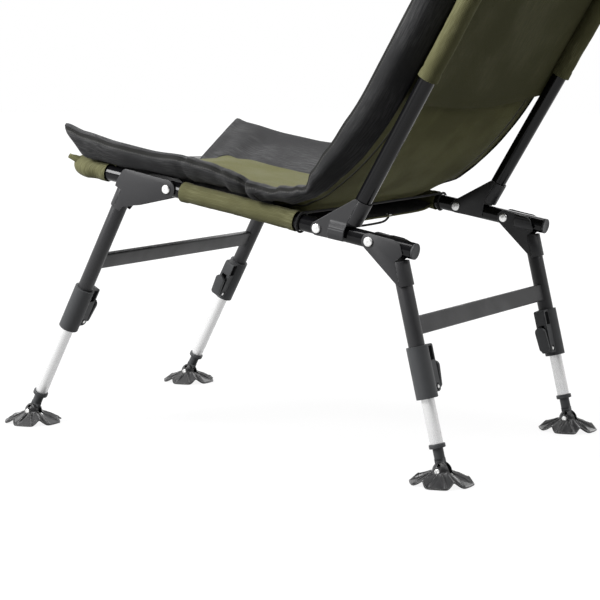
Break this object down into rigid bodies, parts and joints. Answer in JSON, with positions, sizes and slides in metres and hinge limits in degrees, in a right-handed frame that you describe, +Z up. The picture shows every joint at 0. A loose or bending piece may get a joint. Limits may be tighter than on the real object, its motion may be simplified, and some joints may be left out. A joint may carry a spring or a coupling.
{
  "type": "folding carp fishing chair",
  "caption": "Low folding fishing chair with a quilted mattress on a tube frame, fold-down backrest, telescopic clamped legs and swivelling mud feet.",
  "frame": {"origin": "on the ground at the middle of the whole chair", "axes": "+Z up, the chair faces -Y, +X is the sitter's left"},
  "size_m": [0.5494, 0.9678, 0.9164],
  "materials": {
    "frame_paint": "satin black paint",
    "clamp_plastic": "moulded charcoal plastic",
    "inner_alloy": "bright drawn tube",
    "rivet_metal": "polished",
    "olive_cloth": "coated woven polyester",
    "quilt_cloth": "brushed polyester quilt, black with an olive centre",
    "elastic_cord": "woven elastic cord",
    "foot_plastic": "moulded black plastic"
  },
  "bodies": {
    "seat_frame": {"seat_rail_left": "frame_paint", "seat_rail_right": "frame_paint", "rail_end_cap_left": "clamp_plastic", "rail_end_cap_right": "clamp_plastic", "front_leg_rivet_left": "rivet_metal", "front_leg_rivet_right": "rivet_metal", "backrest_rivet_left": "rivet_metal", "backrest_rivet_right": "rivet_metal", "rear_leg_rivet_left": "rivet_metal", "rear_leg_rivet_right": "rivet_metal", "seat_front_tube": "frame_paint", "front_sleeve": "olive_cloth", "main_sleeve_left": "olive_cloth", "main_sleeve_right": "olive_cloth", "seat_sling": "olive_cloth", "rear_elastic": "elastic_cord", "hem_loop": "elastic_cord", "seat_mattress": "quilt_cloth", "mattress_bend": "quilt_cloth"},
    "back_frame": {"back_bracket_left": "frame_paint", "back_bracket_right": "frame_paint", "back_tube_left": "frame_paint", "back_tube_right": "frame_paint", "back_sleeve_left": "olive_cloth", "back_sleeve_right": "olive_cloth", "back_top_tube": "frame_paint", "back_sling": "olive_cloth", "back_mattress": "quilt_cloth"},
    "front_legs": {"front_bracket_left": "frame_paint", "front_bracket_right": "frame_paint", "front_leg_left": "frame_paint", "front_leg_right": "frame_paint", "front_clamp_left": "clamp_plastic", "front_clamp_right": "clamp_plastic", "front_crossbar": "frame_paint"},
    "rear_legs": {"rear_bracket_left": "frame_paint", "rear_bracket_right": "frame_paint", "rear_leg_left": "frame_paint", "rear_leg_right": "frame_paint", "rear_clamp_left": "clamp_plastic", "rear_clamp_right": "clamp_plastic", "rear_crossbar": "frame_paint"},
    "front_inner_leg_left": {"front_inner_leg_left": "inner_alloy", "front_foot_socket_left": "clamp_plastic"},
    "front_lever_left": {"front_lever_left": "clamp_plastic"},
    "front_foot_left": {"front_foot_left": "foot_plastic"},
    "front_inner_leg_right": {"front_inner_leg_right": "inner_alloy", "front_foot_socket_right": "clamp_plastic"},
    "front_lever_right": {"front_lever_right": "clamp_plastic"},
    "front_foot_right": {"front_foot_right": "foot_plastic"},
    "rear_inner_leg_left": {"rear_inner_leg_left": "inner_alloy", "rear_foot_socket_left": "clamp_plastic"},
    "rear_lever_left": {"rear_lever_left": "clamp_plastic"},
    "rear_foot_left": {"rear_foot_left": "foot_plastic"},
    "rear_inner_leg_right": {"rear_inner_leg_right": "inner_alloy", "rear_foot_socket_right": "clamp_plastic"},
    "rear_lever_right": {"rear_lever_right": "clamp_plastic"},
    "rear_foot_right": {"rear_foot_right": "foot_plastic"}
  },
  "joints": [
    {"name": "front_legs_fold", "type": "hinge", "parent": "seat_frame", "child": "front_legs", "pos_m": [0, -0.14315, 0.41285], "axis": [1, 0, 0], "range_deg": [0, 85]},
    {"name": "rear_legs_fold", "type": "hinge", "parent": "seat_frame", "child": "rear_legs", "pos_m": [0, 0.22752, 0.35281], "axis": [-1, 0, 0], "range_deg": [0, 105]},
    {"name": "backrest_fold", "type": "hinge", "parent": "seat_frame", "child": "back_frame", "pos_m": [0, 0.1372, 0.36744], "axis": [1, 0, 0], "range_deg": [0, 98], "deforming": ["mattress_bend", "back_mattress"]},
    {"name": "front_leg_length_left", "type": "slide", "parent": "front_legs", "child": "front_inner_leg_left", "axis": [0, 0.4695, 0.8829], "range_m": [-0.06, 0.129]},
    {"name": "front_lever_left", "type": "hinge", "parent": "front_legs", "child": "front_lever_left", "pos_m": [0.203, -0.35336, 0.18258], "axis": [0, -0.8829, 0.4695], "range_deg": [0, 100]},
    {"name": "front_foot_swivel_left", "type": "hinge", "parent": "front_inner_leg_left", "child": "front_foot_left", "pos_m": [0.226, -0.43927, 0.021], "axis": [1, 0, 0], "range_deg": [-68, 12]},
    {"name": "front_leg_length_right", "type": "slide", "parent": "front_legs", "child": "front_inner_leg_right", "axis": [0, 0.4695, 0.8829], "range_m": [-0.06, 0.129]},
    {"name": "front_lever_right", "type": "hinge", "parent": "front_legs", "child": "front_lever_right", "pos_m": [-0.203, -0.35336, 0.18258], "axis": [0, 0.8829, -0.4695], "range_deg": [0, 100]},
    {"name": "front_foot_swivel_right", "type": "hinge", "parent": "front_inner_leg_right", "child": "front_foot_right", "pos_m": [-0.226, -0.43927, 0.021], "axis": [1, 0, 0], "range_deg": [-68, 12]},
    {"name": "rear_leg_length_left", "type": "slide", "parent": "rear_legs", "child": "rear_inner_leg_left", "axis": [0, -0.2436, 0.9699], "range_m": [-0.06, 0.067]},
    {"name": "rear_lever_left", "type": "hinge", "parent": "rear_legs", "child": "rear_lever_left", "pos_m": [0.203, 0.31888, 0.1381], "axis": [0, -0.9699, -0.2436], "range_deg": [0, 100]},
    {"name": "rear_foot_swivel_left", "type": "hinge", "parent": "rear_inner_leg_left", "child": "rear_foot_left", "pos_m": [0.226, 0.34829, 0.021], "axis": [1, 0, 0], "range_deg": [-25.9, 54.1]},
    {"name": "rear_leg_length_right", "type": "slide", "parent": "rear_legs", "child": "rear_inner_leg_right", "axis": [0, -0.2436, 0.9699], "range_m": [-0.06, 0.067]},
    {"name": "rear_lever_right", "type": "hinge", "parent": "rear_legs", "child": "rear_lever_right", "pos_m": [-0.203, 0.31888, 0.1381], "axis": [0, 0.9699, 0.2436], "range_deg": [0, 100]},
    {"name": "rear_foot_swivel_right", "type": "hinge", "parent": "rear_inner_leg_right", "child": "rear_foot_right", "pos_m": [-0.226, 0.34829, 0.021], "axis": [1, 0, 0], "range_deg": [-25.9, 54.1]}
  ]
}
